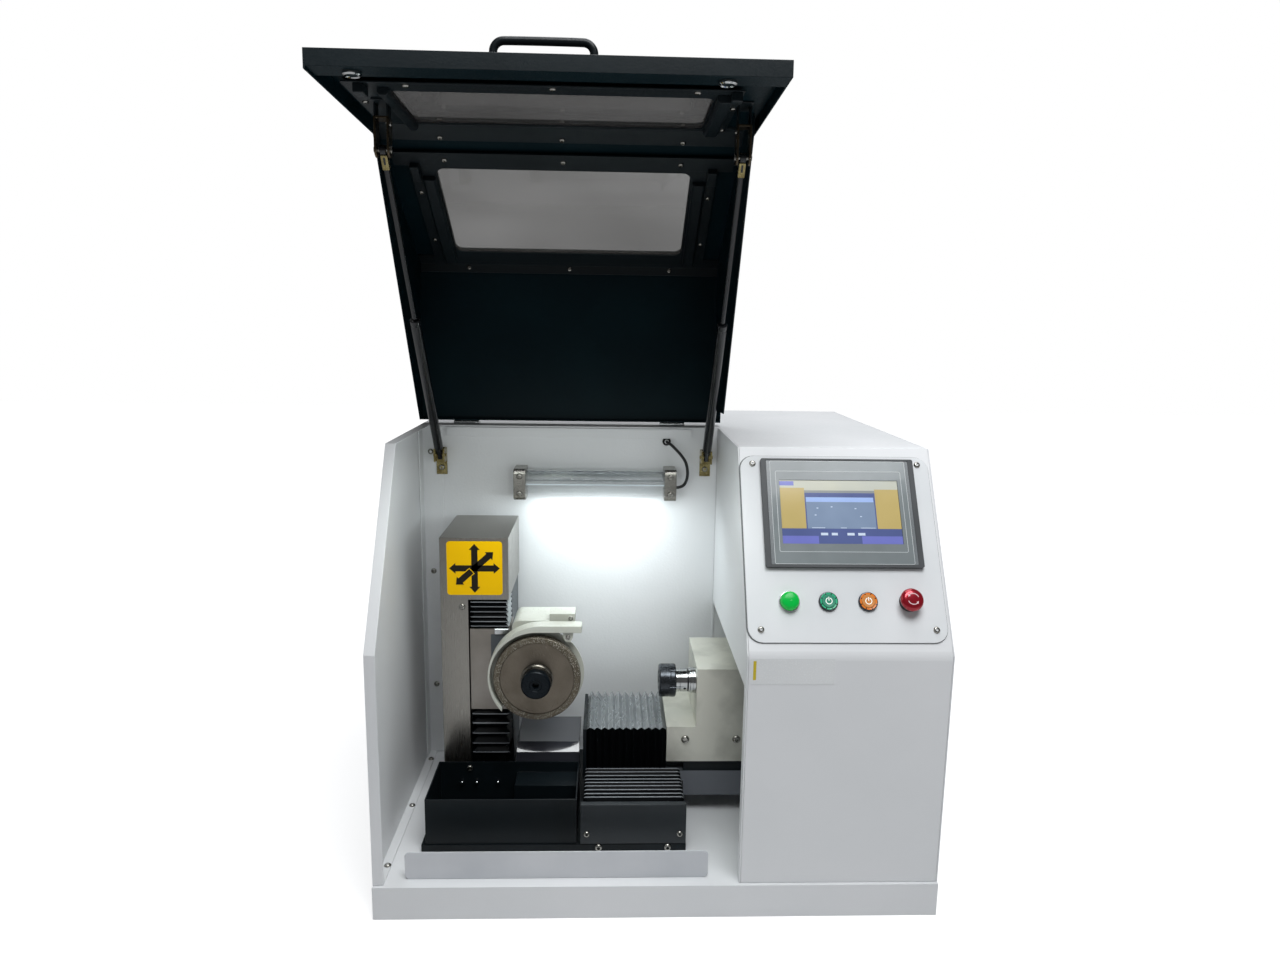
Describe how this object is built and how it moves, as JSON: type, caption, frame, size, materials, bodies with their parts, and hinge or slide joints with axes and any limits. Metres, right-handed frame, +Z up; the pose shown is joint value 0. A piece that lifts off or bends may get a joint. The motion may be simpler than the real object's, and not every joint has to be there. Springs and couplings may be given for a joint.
{
  "type": "cnc tool grinder",
  "caption": "Bench-top tool grinding machine: white sheet cabinet with a raised dark hood on gas struts, wheel head on a column, collet workhead on cross slides and a slanted control panel.",
  "frame": {"origin": "middle of the floor frame's footprint, on its underside", "axes": "+Z up, -Y to the front where the operator stands, +X to the operator's right"},
  "size_m": [0.7835, 0.8403, 1.113],
  "materials": {
    "white_paint": "fine texture powder coat",
    "grey_paint": "textured powder coat",
    "control_plate_paint": "satin",
    "electrics": "matt housings",
    "dark_plastic": "fine grain",
    "screen": "lit display glass",
    "green_plastic": "translucent gloss",
    "orange_plastic": "translucent gloss",
    "red_plastic": "satin",
    "steel": "ground",
    "hood_paint": "textured powder coat",
    "smoked_acrylic": "smoked acrylic",
    "black_paint": "satin",
    "yellow_zinc": "yellow zinc plate",
    "light_metal": "anodised",
    "light_glass": "clear tube",
    "cable_rubber": "smooth sheath",
    "cover_paint": "textured powder coat",
    "black_fabric": "coated pleated fabric",
    "silver_fabric": "coated pleated fabric",
    "cast_iron": "painted casting",
    "stainless": "brushed, warm tone",
    "sign_yellow": "printed plate",
    "cream_paint": "satin",
    "abrasive": "metal wheel with a bonded abrasive rim"
  },
  "bodies": {
    "cabinet": {"floor_frame": "white_paint", "left_wall": "white_paint", "back_wall": "white_paint", "partition": "white_paint", "right_wall": "white_paint", "control_front": "white_paint", "roof": "white_paint", "rear_panel": "white_paint", "bay_shelf": "white_paint", "front_sill": "grey_paint", "electrics_plate": "electrics", "control_plate": "control_plate_paint", "operator_panel": "dark_plastic", "screen_glass": "screen", "signal_lamp": "green_plastic", "start_button_body": "steel", "reset_button_body": "steel", "stop_button_body": "dark_plastic", "hinge_left_fixed": "steel", "hinge_right_fixed": "steel", "strut_left_wall_bracket": "yellow_zinc", "strut_right_wall_bracket": "yellow_zinc", "light_housing": "light_metal", "light_tube": "light_glass", "light_cable": "cable_rubber", "machine_base": "black_paint", "grit_tray": "black_paint", "way_cover": "cover_paint", "y_bellows": "black_fabric", "column_casting": "cast_iron", "column_cover": "stainless", "direction_plate": "sign_yellow", "upper_bellows": "black_fabric", "lower_bellows": "black_fabric"},
    "hood": {"hood_shell": "hood_paint", "slant_window": "smoked_acrylic", "front_window": "smoked_acrylic", "slant_window_frame": "hood_paint", "front_window_frame": "hood_paint", "hood_handle": "black_paint", "hinge_left_moving": "steel", "hinge_right_moving": "steel", "strut_left_hood_bracket": "yellow_zinc", "strut_right_hood_bracket": "yellow_zinc"},
    "left_strut_tube": {"strut_left_tube": "black_paint"},
    "left_strut_rod": {"strut_left_rod": "steel"},
    "right_strut_tube": {"strut_right_tube": "black_paint"},
    "right_strut_rod": {"strut_right_rod": "steel"},
    "grinding_head": {"z_carriage": "cast_iron", "spindle_housing": "cream_paint", "wheel_guard": "cream_paint"},
    "wheel": {"grinding_wheel": "abrasive"},
    "cross_saddle": {"saddle": "cast_iron", "x_bellows": "silver_fabric"},
    "workhead": {"workhead_cover": "stainless", "workhead_carriage": "cast_iron"},
    "collet_spindle": {"work_spindle": "steel"},
    "start_cap": {"start_button_cap": "green_plastic"},
    "reset_cap": {"reset_button_cap": "orange_plastic"},
    "stop_head": {"stop_button_head": "red_plastic"}
  },
  "joints": [
    {"name": "hood_hinge", "type": "hinge", "parent": "cabinet", "child": "hood", "pos_m": [-0.14, 0.0575, 0.6393], "axis": [-1, 0, 0], "range_deg": [-92, 0]},
    {"name": "left_strut_swing", "type": "hinge", "parent": "cabinet", "child": "left_strut_tube", "pos_m": [-0.354, 0.02, 0.588], "axis": [-1, 0, 0], "range_deg": [-97.88, 0]},
    {"name": "left_strut_slide", "type": "slide", "parent": "left_strut_tube", "child": "left_strut_rod", "axis": [0, -0.5977, 0.8017], "range_m": [-0.07821, 0], "stiffness_N_per_m": 500, "springref_m": 0.62},
    {"name": "right_strut_swing", "type": "hinge", "parent": "cabinet", "child": "right_strut_tube", "pos_m": [0.091, 0.02, 0.588], "axis": [-1, 0, 0], "range_deg": [-97.88, 0]},
    {"name": "right_strut_slide", "type": "slide", "parent": "right_strut_tube", "child": "right_strut_rod", "axis": [0, -0.5977, 0.8017], "range_m": [-0.07821, 0], "stiffness_N_per_m": 500, "springref_m": 0.62},
    {"name": "z_slide", "type": "slide", "parent": "cabinet", "child": "grinding_head", "axis": [0, 0, 1], "range_m": [-0.045, 0.025], "deforming": ["upper_bellows", "lower_bellows"]},
    {"name": "wheel_spin", "type": "hinge", "parent": "grinding_head", "child": "wheel", "pos_m": [-0.178, -0.188, 0.28], "axis": [0, -1, 0], "continuous": true},
    {"name": "y_slide", "type": "slide", "parent": "cabinet", "child": "cross_saddle", "axis": [0, 1, 0], "range_m": [-0.05, 0.04], "deforming": ["y_bellows"]},
    {"name": "x_slide", "type": "slide", "parent": "cross_saddle", "child": "workhead", "axis": [1, 0, 0], "range_m": [-0.08, 0.03], "deforming": ["x_bellows"]},
    {"name": "work_spindle_spin", "type": "hinge", "parent": "workhead", "child": "collet_spindle", "pos_m": [0.04, -0.139, 0.258], "axis": [-1, 0, 0], "continuous": true},
    {"name": "start_press", "type": "slide", "parent": "cabinet", "child": "start_cap", "axis": [0, 0.8616, -0.5076], "range_m": [0, 0.003], "stiffness_N_per_m": 300},
    {"name": "reset_press", "type": "slide", "parent": "cabinet", "child": "reset_cap", "axis": [0, 0.8616, -0.5076], "range_m": [0, 0.003], "stiffness_N_per_m": 300},
    {"name": "stop_press", "type": "slide", "parent": "cabinet", "child": "stop_head", "axis": [0, 0.8616, -0.5076], "range_m": [0, 0.004], "stiffness_N_per_m": 500}
  ],
  "couplings": [
    {"joint": "left_strut_swing", "follows": "hood_hinge", "ratio": 1.0607},
    {"joint": "left_strut_slide", "follows": "hood_hinge", "m_per_rad": 0.048518},
    {"joint": "right_strut_swing", "follows": "hood_hinge", "ratio": 1.0607},
    {"joint": "right_strut_slide", "follows": "hood_hinge", "m_per_rad": 0.048518}
  ]
}
